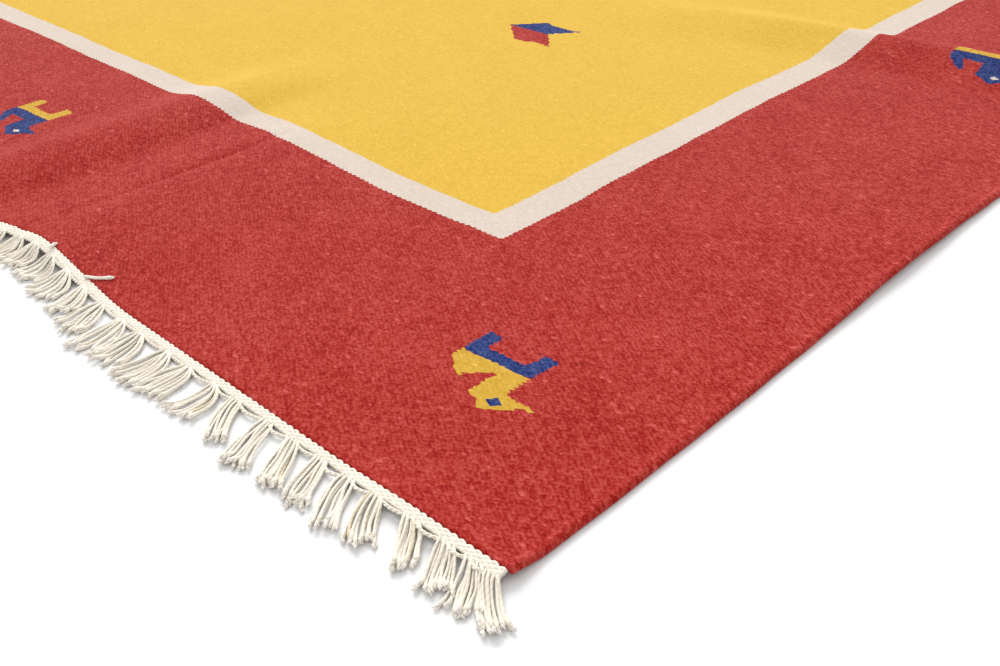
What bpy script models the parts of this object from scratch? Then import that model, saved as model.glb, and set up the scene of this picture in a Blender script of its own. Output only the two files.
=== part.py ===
"""Flat-woven kilim rug: one wool cloth, and at each short end a cotton heading with its fringe.

The rug lies on a floor at z = 0. X runs across its width, along the weft. Y runs along its length,
along the warp. The origin is the middle of the underside. All sizes are in metres.
"""

from collections import namedtuple

import bmesh
import bpy
import numpy as np

# The cloth
WIDTH = 1.70
LENGTH = 2.40
THICKNESS = 0.003
SELVEDGE_WAVE = 0.0013          # how far the side edges wander from straight
SELVEDGE_WAVE_LENGTH = 0.56
SELVEDGE_WAVE_CREST = -1.10
GRID_PITCH = 0.125              # widest spacing of the grid lines where the cloth lies flat
GRID_CLOSEST = 0.008            # grid lines nearer than this are merged

# The heading and its fringe
GAP = 0.0003                    # clearance between pieces that meet
HEADING_WIDTH = 0.007
HEADING_THICKNESS = 0.002
HEADING_INSET = 0.002           # the heading stops this far short of each side edge
LAST_BUNDLE = 0.003             # from the last bundle to the heading's minus X end
PITCH_JITTER = 0.18             # share of the pitch that a bundle's root may wander
ROOT_HALF_WIDTH = 0.0032
ROOT_CLEARANCE = 0.001          # the heading's other cross-sections stay this far from a root
TIP_HALF_WIDTH = 0.0075
TIP_SHARE = 0.40                # share of the way to its neighbour that half a tip may fill
LOCK_THICKNESS = 0.0022
REACH_JITTER = 0.0015
SWAY_JITTER = 0.0015

# A fold is a low ridge across the cloth, left by how it was folded. It starts at an edge of the rug.
# A row with negative heights is a crease pressed down into such a ridge.
# runs      the axis that the ridge runs along
# crest     where its crest stands on the other axis
# plus, minus   the widths of its two slopes, towards plus and towards minus
# plus_bend, minus_bend   how much steeper each slope is at its foot (above 0) or at the crest (below 0)
# edge, full, end   places along the run: the rug's edge, where it is at its full height, and its end
# edge_height, full_height   how high the crest stands at those first two places
# slant     how far the crest moves across for each metre along the run, if it isn't square to the edge
COLUMNS = "runs crest plus minus plus_bend minus_bend edge full end edge_height full_height slant"
Fold = namedtuple("Fold", COLUMNS, defaults=(0.0,))
FOLDS = (
    # the two ridges and the pressed crease that show, and the edge that curls up at the near corner
    Fold("Y", 0.330, 0.052, 0.042, 0.8, -0.3, -1.20, -1.00, -0.86, 0.0085, 0.0072),
    Fold("Y", 0.448, 0.100, 0.066, 0.0, 0.0, -1.20, -1.02, -0.90, 0.0045, 0.0030),
    Fold("Y", 0.431, 0.013, 0.009, 0.0, 0.0, -1.20, -1.02, -0.93, -0.0014, -0.0012),
    Fold("X", -0.565, 0.040, 0.062, -0.3, -0.2, 0.85, 0.62, 0.40, 0.0130, 0.0100, 0.12),
    Fold("X", -0.880, 0.150, 0.110, 0.0, 0.0, 0.85, 0.79, 0.66, 0.0030, 0.0024),
    Fold("X", -1.200, 0.020, 0.020, 0.0, 0.0, 0.85, 0.80, 0.74, 0.0030, 0.0026),
    # low swells at the other quarter lines
    Fold("Y", -0.425, 0.090, 0.080, 0.0, 0.0, -1.20, -1.08, -0.86, 0.0050, 0.0040),
    Fold("Y", 0.425, 0.080, 0.100, 0.0, 0.2, 1.20, 1.04, 0.80, 0.0060, 0.0050),
    Fold("Y", -0.425, 0.090, 0.080, 0.0, 0.0, 1.20, 1.08, 0.88, 0.0045, 0.0035),
    Fold("X", 0.600, 0.080, 0.100, 0.2, 0.0, 0.85, 0.70, 0.44, 0.0055, 0.0050),
    Fold("X", 0.600, 0.100, 0.080, 0.0, 0.0, -0.85, -0.66, -0.40, 0.0065, 0.0055),
    Fold("X", -0.600, 0.080, 0.090, 0.0, 0.0, -0.85, -0.72, -0.50, 0.0045, 0.0035),
)
ROUNDING = 0.18                         # share of a slope that is rounded at its crest and at its foot
SLOPE_SHARES = (0.18, 0.5, 0.82, 1.0)   # where grid lines cut each slope, counted from the crest

# Beside the pressed crease the cloth is drawn in: the front end bows inward, as a fold lying in the plane.
BOW = Fold("Y", 0.455, 0.110, 0.070, 0.0, 0.0, -1.20, -0.98, -0.75, 0.0075, 0.0065)

# How the fringe lies: the bundles of warps near the plus X corner one by one, then the rest by how they
# lie on average. Between the rows for the rest, the sizes change evenly.
# place   distance along the end from its plus X corner
# sway    how far the tips lie towards plus X from their roots
# reach   how far the tips lie out from the heading
# pitch   distance from one bundle to the next
Bundle = namedtuple("Bundle", "place sway reach")
FRONT_BUNDLES = (
    Bundle(0.002, 0.021, 0.016),
    Bundle(0.012, 0.015, 0.018),
    Bundle(0.027, 0.015, 0.017),
    Bundle(0.048, 0.018, 0.017),
    Bundle(0.070, 0.017, 0.020),
    Bundle(0.089, 0.017, 0.024),
    Bundle(0.108, 0.014, 0.024),
    Bundle(0.130, 0.019, 0.025),
    Bundle(0.149, 0.014, 0.027),
    Bundle(0.174, 0.019, 0.022),
    Bundle(0.193, 0.006, 0.023),
    Bundle(0.216, 0.002, 0.026),
    Bundle(0.236, 0.005, 0.028),
    Bundle(0.262, 0.010, 0.026),
    Bundle(0.281, 0.008, 0.028),
    Bundle(0.304, 0.011, 0.024),
    Bundle(0.327, 0.012, 0.021),
    Bundle(0.350, 0.010, 0.022),
    Bundle(0.371, 0.004, 0.020),
    Bundle(0.391, 0.005, 0.019),
    Bundle(0.409, 0.003, 0.018),
)
BACK_BUNDLES = (
    Bundle(0.003, 0.016, 0.020),
)
Lie = namedtuple("Lie", "place pitch sway reach")
FRONT_LIES = (
    Lie(0.38, 0.0205, 0.003, 0.020),
    Lie(0.55, 0.0205, -0.006, 0.025),
    Lie(0.85, 0.0200, 0.005, 0.027),
    Lie(1.15, 0.0215, -0.004, 0.024),
    Lie(1.45, 0.0205, 0.006, 0.026),
    Lie(1.70, 0.0150, -0.017, 0.020),
)
BACK_LIES = (
    Lie(0.00, 0.0140, 0.016, 0.020),
    Lie(0.30, 0.0205, -0.003, 0.025),
    Lie(0.70, 0.0210, 0.006, 0.026),
    Lie(1.10, 0.0200, -0.005, 0.024),
    Lie(1.40, 0.0210, 0.004, 0.026),
    Lie(1.70, 0.0150, -0.016, 0.020),
)

# Cross-sections along a lock, from its root to its tip.
# out     share of its reach
# drop    share of the way from the heading down to the floor
# spread  share of the way from the root's width to the tip's
Section = namedtuple("Section", "out drop spread")
LOCK_SECTIONS = (
    Section(0.30, 0.55, 0.30),
    Section(0.65, 1.00, 0.75),
    Section(1.00, 1.00, 1.00),
)

FRONT_SEED = 11                 # the draw of each fringe's own unevenness
BACK_SEED = 12

WOOL_COLOUR = (0.484, 0.053, 0.042, 1.0)
COTTON_COLOUR = (0.84, 0.77, 0.68, 1.0)
SHARP_ANGLE = np.radians(40.0)  # edges sharper than this are shaded as edges


def soft_step(share):
    """0 at share 0 and 1 at share 1, level at both ends."""
    share = np.clip(share, 0.0, 1.0)
    return share * share * (3.0 - 2.0 * share)


def slope_profile(share, bend):
    """Height from foot (share 0) to crest (share 1): a straight slope with rounded ends, then bent."""
    share = np.clip(share, 0.0, 1.0)
    curve = 2.0 * ROUNDING * (1.0 - ROUNDING)
    straight = (share - ROUNDING / 2.0) / (1.0 - ROUNDING)
    ramp = np.where(share < ROUNDING, share**2 / curve, straight)
    ramp = np.where(share > 1.0 - ROUNDING, 1.0 - (1.0 - share) ** 2 / curve, ramp)
    return ramp * (1.0 + bend * (1.0 - ramp))


def fold_height(fold, x, y):
    """Height of one fold at (x, y): its crest's height along the run, times the profile of its slopes."""
    along, across = (y, x) if fold.runs == "Y" else (x, y)
    to_full = (along - fold.edge) / (fold.full - fold.edge)
    to_end = (along - fold.full) / (fold.end - fold.full)
    crest_height = fold.edge_height + (fold.full_height - fold.edge_height) * soft_step(to_full)
    crest_height = crest_height * (1.0 - soft_step(to_end))
    aside = across - fold.crest - fold.slant * (along - fold.full)
    plus_side = slope_profile(1.0 - aside / fold.plus, fold.plus_bend)
    minus_side = slope_profile(1.0 + aside / fold.minus, fold.minus_bend)
    return crest_height * np.where(aside > 0.0, plus_side, minus_side)


def lift(x, y):
    """How far the underside stands off the floor at (x, y)."""
    return sum(fold_height(fold, x, y) for fold in FOLDS)


def grid_lines(extent, folds):
    """Even lines over the extent, and lines at each fold's crest and down both its slopes."""
    steps = round(extent / GRID_PITCH)
    even = [extent * (step / steps - 0.5) for step in range(steps + 1)]
    crests = [fold.crest for fold in folds]
    slopes = [
        fold.crest + side * share
        for fold in folds
        for side in (fold.plus, -fold.minus)
        for share in SLOPE_SHARES
    ]
    kept = [-extent / 2.0, extent / 2.0]
    for line in crests + slopes + even:
        if abs(line) < extent / 2.0 and all(abs(line - other) >= GRID_CLOSEST for other in kept):
            kept.append(line)
    return sorted(kept)


def column_lines():
    return grid_lines(WIDTH, [BOW] + [fold for fold in FOLDS if fold.runs == "Y"])


def row_lines():
    return grid_lines(LENGTH, [fold for fold in FOLDS if fold.runs == "X"])


def make_material(name, colour, roughness):
    material = bpy.data.materials.new(name)
    material.use_nodes = True
    shader = material.node_tree.nodes["Principled BSDF"]
    shader.inputs["Base Color"].default_value = colour
    shader.inputs["Roughness"].default_value = roughness
    shader.inputs["Metallic"].default_value = 0.0
    return material


def add_object(name, mesh, material):
    """Turn a finished bmesh into a named object with its faces pointing out."""
    bmesh.ops.recalc_face_normals(mesh, faces=mesh.faces)
    data = bpy.data.meshes.new(name)
    mesh.to_mesh(data)
    mesh.free()
    data.materials.append(material)
    data.shade_smooth()
    data.set_sharp_from_angle(angle=SHARP_ANGLE)
    thing = bpy.data.objects.new(name, data)
    bpy.context.collection.objects.link(thing)
    return thing


def make_cloth(material):
    """A grid with its points lifted by the folds and drawn in by the bow, raised to a slab."""
    columns = column_lines()
    rows = row_lines()
    mesh = bmesh.new()
    bmesh.ops.create_grid(mesh, x_segments=len(columns) - 1, y_segments=len(rows) - 1, size=0.5)
    for point in mesh.verts:
        x = columns[round((point.co.x + 0.5) * (len(columns) - 1))]
        y = rows[round((point.co.y + 0.5) * (len(rows) - 1))]
        wave = SELVEDGE_WAVE * np.cos(2.0 * np.pi * (y - SELVEDGE_WAVE_CREST) / SELVEDGE_WAVE_LENGTH)
        outward = wave * 2.0 * x / WIDTH
        point.co = (x + outward, y + fold_height(BOW, x, y), lift(x, y))
    raised = bmesh.ops.extrude_face_region(mesh, geom=mesh.faces[:])
    top = [item for item in raised["geom"] if isinstance(item, bmesh.types.BMVert)]
    bmesh.ops.translate(mesh, verts=top, vec=(0.0, 0.0, THICKNESS))
    return add_object("rug_cloth", mesh, material)


def bundle_places(bundles, lies, seed):
    """Root X, tip X and reach of each bundle along one end, from the plus X corner to the minus X one."""
    draw = np.random.RandomState(seed)
    given = {column: [getattr(lie, column) for lie in lies] for column in Lie._fields}
    span = WIDTH - 2.0 * (HEADING_INSET + ROOT_HALF_WIDTH)
    placed = len(bundles)
    place = [bundle.place for bundle in bundles]
    while place[-1] < span:
        pitch = np.interp(place[-1], given["place"], given["pitch"])
        place.append(place[-1] + pitch * (1.0 + PITCH_JITTER * draw.uniform(-1.0, 1.0)))
    place = np.array(place[:-1])
    start = place[placed - 1]
    place[placed:] = start + (place[placed:] - start) * (span - LAST_BUNDLE - start) / (place[-1] - start)
    sway_jitter, reach_jitter = draw.uniform(-1.0, 1.0, (2, len(place)))
    sway = np.interp(place, given["place"], given["sway"]) + SWAY_JITTER * sway_jitter
    reach = np.interp(place, given["place"], given["reach"]) + REACH_JITTER * reach_jitter
    sway[:placed] = [bundle.sway for bundle in bundles]
    reach[:placed] = [bundle.reach for bundle in bundles]
    root = span / 2.0 - place
    return root, root + sway, reach


def tip_half_widths(tips):
    """Half of each tip's width, so that it stays clear of its neighbours."""
    between = np.abs(np.diff(tips))
    before = np.append(np.inf, between)
    after = np.append(between, np.inf)
    return np.minimum(TIP_HALF_WIDTH, TIP_SHARE * np.minimum(before, after))


def heading_stations(roots, side):
    """Both sides of each root and the cloth's own columns between them, from plus X to minus X."""
    root_edges = [root + edge for root in roots for edge in (ROOT_HALF_WIDTH, -ROOT_HALF_WIDTH)]
    clear = ROOT_HALF_WIDTH + ROOT_CLEARANCE
    between = [x for x in column_lines() if abs(x) < side and all(abs(x - root) > clear for root in roots)]
    return sorted([side, -side, *root_edges, *between], reverse=True)


def make_fringe(name, end, places, material):
    """A flat strip along one end, with a lock drawn out of its outer side for each bundle of warps."""
    roots, tips, reaches = places
    halves = tip_half_widths(tips)
    columns = np.array(column_lines())
    edge_y = end * LENGTH / 2.0 + fold_height(BOW, columns, end * LENGTH / 2.0)
    edge_lift = lift(columns, end * LENGTH / 2.0)
    mesh = bmesh.new()
    rings = []
    stations = heading_stations(roots, WIDTH / 2.0 - HEADING_INSET)
    for x in stations:
        inner = np.interp(x, columns, edge_y) + end * GAP
        outer = inner + end * HEADING_WIDTH
        low = np.interp(x, columns, edge_lift) + GAP
        high = low + HEADING_THICKNESS
        corners = ((x, inner, low), (x, inner, high), (x, outer, high), (x, outer, low))
        rings.append([mesh.verts.new(corner) for corner in corners])
    outer_faces = {}
    for x, ring, following in zip(stations, rings, rings[1:]):
        for corner in range(4):
            after = (corner + 1) % 4
            face = mesh.faces.new((ring[corner], ring[after], following[after], following[corner]))
            if corner == 2:
                outer_faces[x] = face
    mesh.faces.new(rings[0])
    mesh.faces.new(rings[-1])
    for root, tip, reach, half in zip(roots, tips, reaches, halves):
        draw_lock(mesh, outer_faces[root + ROOT_HALF_WIDTH], end, root, tip, reach, half)
    return add_object(name, mesh, material)


def draw_lock(mesh, face, end, root, tip, reach, tip_half):
    """Extrude a bundle's root face section by section, out, down to the floor and fanning to its tip."""
    centre = face.calc_center_median()
    root_low = centre.z - HEADING_THICKNESS / 2.0
    for section in LOCK_SECTIONS:
        face = bmesh.ops.extrude_discrete_faces(mesh, faces=[face])["faces"][0]
        x = root + (tip - root) * section.out
        y = centre.y + end * reach * section.out
        low = root_low * (1.0 - section.drop)
        half = ROOT_HALF_WIDTH + (tip_half - ROOT_HALF_WIDTH) * section.spread
        points = sorted(face.verts, key=lambda point: point.co.x)
        for pair, aside in ((points[:2], x - half), (points[2:], x + half)):
            lower, upper = sorted(pair, key=lambda point: point.co.z)
            lower.co = (aside, y, low)
            upper.co = (aside, y, low + LOCK_THICKNESS)


def main():
    for thing in list(bpy.data.objects):
        bpy.data.objects.remove(thing)
    wool = make_material("woven_wool", WOOL_COLOUR, 0.95)
    cotton = make_material("cotton_warp", COTTON_COLOUR, 0.9)
    make_cloth(wool)
    make_fringe("fringe_front", -1.0, bundle_places(FRONT_BUNDLES, FRONT_LIES, FRONT_SEED), cotton)
    make_fringe("fringe_back", 1.0, bundle_places(BACK_BUNDLES, BACK_LIES, BACK_SEED), cotton)


main()
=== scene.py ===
"""Looks of a flat-woven kilim rug: a wool tapestry cloth, with a cotton heading and fringe at both ends.

X runs across the width, along the weft, and Y along the length, along the warp. The rug lies on z = 0.
Sizes are in metres.
"""

from collections import namedtuple

import bpy
import numpy as np
from mathutils import Matrix


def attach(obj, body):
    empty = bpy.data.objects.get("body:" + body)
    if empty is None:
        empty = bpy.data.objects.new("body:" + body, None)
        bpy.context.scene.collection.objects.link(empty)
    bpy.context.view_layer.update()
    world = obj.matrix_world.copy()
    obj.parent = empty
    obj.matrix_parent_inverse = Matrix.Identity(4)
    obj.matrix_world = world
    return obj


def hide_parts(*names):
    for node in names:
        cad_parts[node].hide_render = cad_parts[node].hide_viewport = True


bl_info = {
    "name": "Kilim rug",
    "version": (1, 0, 0),
    "blender": (4, 5, 0),
    "location": "View3D > Sidebar > Kilim rug",
    "description": "Weaves a kilim rug with its headings and fringes, and lights it in a plain studio",
    "category": "Object",
}

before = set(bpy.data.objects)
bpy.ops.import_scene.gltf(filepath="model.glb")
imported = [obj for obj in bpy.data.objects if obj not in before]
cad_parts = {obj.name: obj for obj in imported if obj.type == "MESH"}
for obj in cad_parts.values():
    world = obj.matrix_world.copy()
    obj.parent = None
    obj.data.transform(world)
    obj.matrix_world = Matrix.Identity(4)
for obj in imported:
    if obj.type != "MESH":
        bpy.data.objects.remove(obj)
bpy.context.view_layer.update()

# How the rug lies: as in its solids, but with a finer crease and a finer bow. Folds are low ridges across
# the cloth, left by how it was folded. A row with negative heights is a crease pressed down into one.
# runs      the axis that the ridge runs along
# crest     where its crest stands on the other axis
# plus, minus   the widths of its two slopes, towards plus and towards minus
# plus_bend, minus_bend   how much steeper each slope is at its foot (above 0) or at the crest (below 0)
# edge, full, end   places along the run: the rug's edge, where it is at its full height, and its end
# edge_height, full_height   how high the crest stands at those first two places
# slant     how far the crest moves across for each metre along the run, if it isn't square to the edge
COLUMNS = "runs crest plus minus plus_bend minus_bend edge full end edge_height full_height slant"
Fold = namedtuple("Fold", COLUMNS, defaults=(0.0,))
FOLDS = (
    # the two ridges and the pressed crease that show, and the edge that curls up at the near corner
    Fold("Y", 0.330, 0.052, 0.042, 0.8, -0.3, -1.20, -1.00, -0.86, 0.0085, 0.0072),
    Fold("Y", 0.448, 0.100, 0.066, 0.0, 0.0, -1.20, -1.02, -0.90, 0.0045, 0.0030),
    Fold("Y", 0.431, 0.013, 0.009, 0.0, 0.0, -1.20, -1.04, -0.97, -0.0007, -0.0012),
    Fold("Y", 0.431, 0.005, 0.004, 0.0, 0.0, -1.16, -1.05, -1.00, 0.0, -0.0008),
    Fold("X", -0.565, 0.040, 0.062, -0.3, -0.2, 0.85, 0.62, 0.40, 0.0130, 0.0100, 0.12),
    Fold("X", -0.880, 0.150, 0.110, 0.0, 0.0, 0.85, 0.79, 0.66, 0.0030, 0.0024),
    Fold("X", -1.200, 0.020, 0.020, 0.0, 0.0, 0.85, 0.80, 0.74, 0.0030, 0.0026),
    # low swells at the other quarter lines
    Fold("Y", -0.425, 0.090, 0.080, 0.0, 0.0, -1.20, -1.08, -0.86, 0.0050, 0.0040),
    Fold("Y", 0.425, 0.080, 0.100, 0.0, 0.2, 1.20, 1.04, 0.80, 0.0060, 0.0050),
    Fold("Y", -0.425, 0.090, 0.080, 0.0, 0.0, 1.20, 1.08, 0.88, 0.0045, 0.0035),
    Fold("X", 0.600, 0.080, 0.100, 0.2, 0.0, 0.85, 0.70, 0.44, 0.0055, 0.0050),
    Fold("X", 0.600, 0.100, 0.080, 0.0, 0.0, -0.85, -0.66, -0.40, 0.0065, 0.0055),
    Fold("X", -0.600, 0.080, 0.090, 0.0, 0.0, -0.85, -0.72, -0.50, 0.0045, 0.0035),
)
ROUNDING = 0.18                 # share of a slope that is rounded at its crest and at its foot
BOWS = (                        # how far the picks bow within the cloth's plane, towards plus Y
    Fold("Y", 0.455, 0.110, 0.070, 0.0, 0.0, -1.20, -1.16, -1.03, 0.0075, 0.0070),
    Fold("Y", 0.415, 0.045, 0.110, 0.0, 0.0, -1.15, -1.01, -0.85, 0.0, 0.0036),
    Fold("Y", 0.540, 0.150, 0.080, 0.0, 0.0, -1.15, -1.01, -0.85, 0.0, -0.0036),
)

# The cloth
SELVEDGE_WAVE = 0.0013          # how far the side edges wander from straight
SELVEDGE_WAVE_LENGTH = 0.56
SELVEDGE_WAVE_CREST = -1.10
SELVEDGE_UNEVEN = 0.00025       # a finer unevenness of the side edges
SELVEDGE_UNEVEN_LENGTHS = (0.0105, 0.0331)      # its two lengths, over 2 pi
SELVEDGE_ROLL = 0.00035         # half of how much thicker the last warps are
SELVEDGE_ROLL_WIDTH = 0.0060
END_THINNING = 0.75             # share of its thickness that the cloth loses by its quarter circle at an end
RIPPLE = 0.00012                # a faint unevenness of the height
RIPPLE_ACROSS = 0.021           # its lengths across and along, over 2 pi
RIPPLE_ALONG = 0.027
RIPPLE_DRIFT_ACROSS = 0.11      # the lengths over which those drift, over 2 pi
RIPPLE_DRIFT_ALONG = 0.13

# The cloth's grid
SELVEDGE_FINE = 0.008           # it is finer within this distance of a side edge
LINES_PER_SPAN = 9.0            # further lines over each fold
GRID_SAMPLES = 24001            # places at which the spacing of its lines is worked out
ARC_DEGREES = (0.0, 22.0, 42.0, 60.0, 77.0, 90.0)       # its lines round a rounded edge
ARC_CLEARANCE = 1.3             # its other lines stay this many radii from the edge

# The heading: a web of picks, closed by a twined cord. Places are counted outwards from the gap.
GAP = 0.0003                    # clearance between the wool and the heading
HEADING_INSET = 0.002           # the heading stops this far short of each side edge
HEADING_WIDTH = 0.0070          # in the solids, where a bundle's reach is counted from its outer side
HEADING_STEP = 0.00082          # from one cross-section of its yarns to the next
WANDER_PLACES = 520             # places along it between which its yarns wander
WEB_OUT = (0.0008, 0.0018, 0.0028, 0.0038)
WEB_RISE = 0.0020
WEB_FALL = 0.0002               # how much lower each pick lies than the one before
WEB_RADIUS = 0.00098
WEB_TEETH = 0.00036             # how far the first pick swings into the wool
WEB_TEETH_JITTER = 0.00018
CORD_OUT = 0.0050
CORD_RISE = 0.0012
CORD_TURN = 0.0052              # the length in which its two yarns turn round once
CORD_SWING = 0.00040            # how far from the cord's middle they do so
CORD_RADIUS = 0.00068
SLACK_OUT = 0.0010              # how far the slack cord stands off and up between two bundles
SLACK_RISE = 0.0003
CORNER_SLACK = ((0.60, 0.68), (1.0, 4.0))       # X, and how much more slack there, up to the plus X corner

# The fringe
LAST_BUNDLE = 0.003             # from the last bundle to the heading's minus X end
PITCH_JITTER = 0.18             # share of the pitch that a bundle's root may wander
REACH_JITTER = 0.0015
SWAY_JITTER = 0.0015
ROOT_HALF_WIDTH = 0.0032        # of a lock, in the solids
ROOT_OUT = 0.0045               # where the strands start, under the cord
LEANING = 0.0145                # a bundle leans over if its tips lie this far aside of its root
LEANING_MARGIN = 0.0025         # and it lies straight out if they lie less far aside, by this much
GATHERED = 0.0042               # half the width of a leaning bundle's root
GATHERED_LESS = 0.0020          # how much less it is if the bundle lies straight out
FAN_HALF_WIDTH = 0.0066         # half the width of a leaning bundle's tips
FAN_EXTRA = 0.0046              # how much more it is if the bundle lies straight out
FAN_SHARE = 0.56                # the most of it is this share of the way to its neighbours, and the spare
FAN_SPARE = 0.0010
FAN_AT_ONCE = 0.86              # share of the fan that opens near the root
LONGEST_EXTRA = 0.0014          # how much further than a lock its longest strand may reach
HOOK_START = 0.78               # share of a strand at which its tip begins to swing aside
HOOK_LENGTH = 0.22
HOOK_ASIDE = 0.0024
HOOK_UP = 0.0016
STRAND_RINGS = 12
STRAND_SIDES = 6
STRAND_GIRTH = ((0.0, 0.1, 0.80, 0.91, 1.0), (0.80, 1.0, 1.0, 1.55, 1.35))      # share of its length, girth
STRAW_CHANCE = 0.96             # strands whose chance is above this are straw-coloured, by this tone
STRAW_TONE = 0.45
FIBRE_SIDES = 4
FRAY = 4                        # fibres at each frayed tip
FRAY_ANGLE = 0.60
FRAY_LENGTHS = (0.0009, 0.0022)
FRAY_RADII = (0.00066, 0.00064, 0.00034)        # tufts of fibre: single ones are too fine to show
FRAY_REST = 0.0007              # how high they lie on the floor

# How the fringe lies, as in its solids: the bundles near the plus X corner one by one, then the rest by how
# they lie on average. Between the rows for the rest, the sizes change evenly.
# place   distance along the end from its plus X corner
# sway    how far the tips lie towards plus X from their roots
# reach   how far the tips lie out from the heading
# pitch   distance from one bundle to the next
Bundle = namedtuple("Bundle", "place sway reach")
FRONT_BUNDLES = (
    Bundle(0.002, 0.021, 0.016),
    Bundle(0.012, 0.015, 0.018),
    Bundle(0.027, 0.015, 0.017),
    Bundle(0.048, 0.018, 0.017),
    Bundle(0.070, 0.017, 0.020),
    Bundle(0.089, 0.017, 0.024),
    Bundle(0.108, 0.014, 0.024),
    Bundle(0.130, 0.019, 0.025),
    Bundle(0.149, 0.014, 0.027),
    Bundle(0.174, 0.019, 0.022),
    Bundle(0.193, 0.006, 0.023),
    Bundle(0.216, 0.002, 0.026),
    Bundle(0.236, 0.005, 0.028),
    Bundle(0.262, 0.010, 0.026),
    Bundle(0.281, 0.008, 0.028),
    Bundle(0.304, 0.011, 0.024),
    Bundle(0.327, 0.012, 0.021),
    Bundle(0.350, 0.010, 0.022),
    Bundle(0.371, 0.004, 0.020),
    Bundle(0.391, 0.005, 0.019),
    Bundle(0.409, 0.003, 0.018),
)
BACK_BUNDLES = (
    Bundle(0.003, 0.016, 0.020),
)
Lie = namedtuple("Lie", "place pitch sway reach")
FRONT_LIES = (
    Lie(0.38, 0.0205, 0.003, 0.020),
    Lie(0.55, 0.0205, -0.006, 0.025),
    Lie(0.85, 0.0200, 0.005, 0.027),
    Lie(1.15, 0.0215, -0.004, 0.024),
    Lie(1.45, 0.0205, 0.006, 0.026),
    Lie(1.70, 0.0150, -0.017, 0.020),
)
BACK_LIES = (
    Lie(0.00, 0.0140, 0.016, 0.020),
    Lie(0.30, 0.0205, -0.003, 0.025),
    Lie(0.70, 0.0210, 0.006, 0.026),
    Lie(1.10, 0.0200, -0.005, 0.024),
    Lie(1.40, 0.0210, 0.004, 0.026),
    Lie(1.70, 0.0150, -0.016, 0.020),
)
FRONT_SEED = 11
BACK_SEED = 12

# Ends of warp that lie back on the cloth: how far in from the cloth's minus Y edge, and X, along each
Loose = namedtuple("Loose", "x inward")
LOOSE_WARP = (
    Loose(0.5112, -0.0012),
    Loose(0.5148, 0.0008),
    Loose(0.5180, 0.0026),
    Loose(0.5210, 0.0062),
    Loose(0.5234, 0.0099),
)
LOOSE_STUB = (
    Loose(0.4680, -0.0038),
    Loose(0.4680, -0.0016),
    Loose(0.4665, 0.0008),
)
LOOSE_GIRTH = ((0.0, 0.75, 0.9, 1.0), (1.1, 1.2, 1.7, 1.4))
LOOSE_ARCH = 0.0004             # how much further its middle stands off the cloth
LOOSE_FRAY = 6
LOOSE_FRAY_ANGLE = 1.2
LOOSE_FRAY_LENGTH = 0.0018
LOOSE_FRAY_RADII = (0.00036, 0.00032, 0.00012)

# The woven design
BORDER = 0.1942                 # from the rug's edge to the guard band
BAND = 0.0262                   # the guard band's own width along the selvedges
END_BAND = 0.0217               # and along the ends
ANIMAL_COLUMNS = (-0.7515, -0.257, 0.257, 0.7515)
ANIMAL_ROWS = (-1.105, -0.563, 0.0, 0.563, 1.105)
ARROW_COLUMNS = (-0.418, 0.0, 0.418)
ARROW_ROWS = (-0.714, -0.238, 0.238, 0.714)
BLUE_LEGS, GOLD_LEGS, BLUE_TOP, RED_TOP = 1, 2, 3, 4

# The charts, in steps from a motif's middle: 1 mm along the rug, and a little less across it. A row gives two
# spans at one height, and the spans change evenly between rows. The animal lies on its back, so its legs come
# above its body. Its picks slant a little.
Spans = namedtuple("Spans", "height left_a right_a left_b right_b")
CHART_ACROSS = 1040.0           # steps for each metre across and along
CHART_ALONG = 1000.0
CHART_REACH = 36.0              # the charts run this far from the middle to each side
SLANT = 0.055                   # how far a pick rises for each step across
SLANT_START = 9.0               # it stands at its charted height this many steps to the minus X side
LEGS = (
    Spans(6.4, 0, 0, 0, 0),
    Spans(6.6, -31.5, 14, 0, 0),
    Spans(13.8, -31.5, 14, 0, 0),
    Spans(14.0, -31.8, -21.5, 3.0, 14),
    Spans(24.4, -32.0, -22, 4.2, 14.8),
    Spans(26.4, -31.0, -26, 4.4, 12.5),
    Spans(26.6, 0, 0, 0, 0),
)
FULL_BODY = (
    Spans(-27.2, 0, 0, 0, 0),
    Spans(-27.0, 0, 0, 10.5, 13),
    Spans(-24.0, 0, 0, 7, 17.5),
    Spans(-21.2, 0, 0, 4.2, 21),
    Spans(-21.0, 0, 0, -1.2, 21.2),
    Spans(-17.3, 0, 0, -2.2, 26),
    Spans(-15.2, 0, 0, -2.3, 27.5),
    Spans(-15.0, 0, 0, -2.3, 32.5),
    Spans(-13.6, 0, 0, -2.2, 34.5),
    Spans(-13.4, -16.5, -14, -2.2, 34.5),
    Spans(-12.3, -17.6, -14.6, -2.2, 31),
    Spans(-12.1, -17.8, -14.8, -2.1, 21),
    Spans(-10.3, -20, -15.5, -2.1, 15.5),
    Spans(-9.0, -21.5, -13.8, -2.3, 14),
    Spans(-5.2, -26, -9.5, -2.2, 14),
    Spans(-2.0, -31.3, -6.3, -1.3, 14),
    Spans(0.0, -31.6, -4.6, -1.1, 14),
    Spans(0.2, -31.8, 14, 0, 0),
    Spans(6.4, -31.5, 14, 0, 0),
    Spans(6.6, 0, 0, 0, 0),
)
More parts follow.
